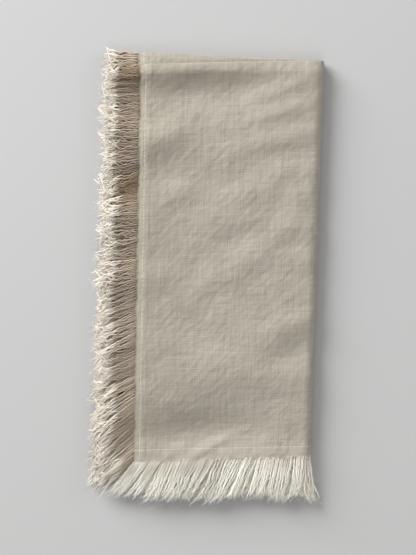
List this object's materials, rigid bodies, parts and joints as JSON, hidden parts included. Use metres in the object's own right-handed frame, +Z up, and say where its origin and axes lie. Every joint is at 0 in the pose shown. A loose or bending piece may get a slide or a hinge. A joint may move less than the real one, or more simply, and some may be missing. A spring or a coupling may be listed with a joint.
{
  "type": "folded napkin",
  "caption": "Folded cloth napkin of plain-woven oatmeal linen, creased along its top and right sides, with a frayed yarn fringe along its left and front edges.",
  "frame": {"origin": "middle of the napkin's outline, on the surface it lies on", "axes": "+X towards the right crease, +Y towards the top crease, +Z up from the surface"},
  "size_m": [0.134, 0.26, 0.0131],
  "materials": {
    "cloth": "matt plain weave",
    "weft_yarn": "matt frayed yarn",
    "warp_yarn": "matt frayed yarn"
  },
  "bodies": {
    "root": {"cloth": "cloth", "fringe_left_top": "weft_yarn", "fringe_left_under": "weft_yarn", "fringe_front_outer": "warp_yarn", "fringe_front_inner": "warp_yarn"}
  },
  "joints": []
}
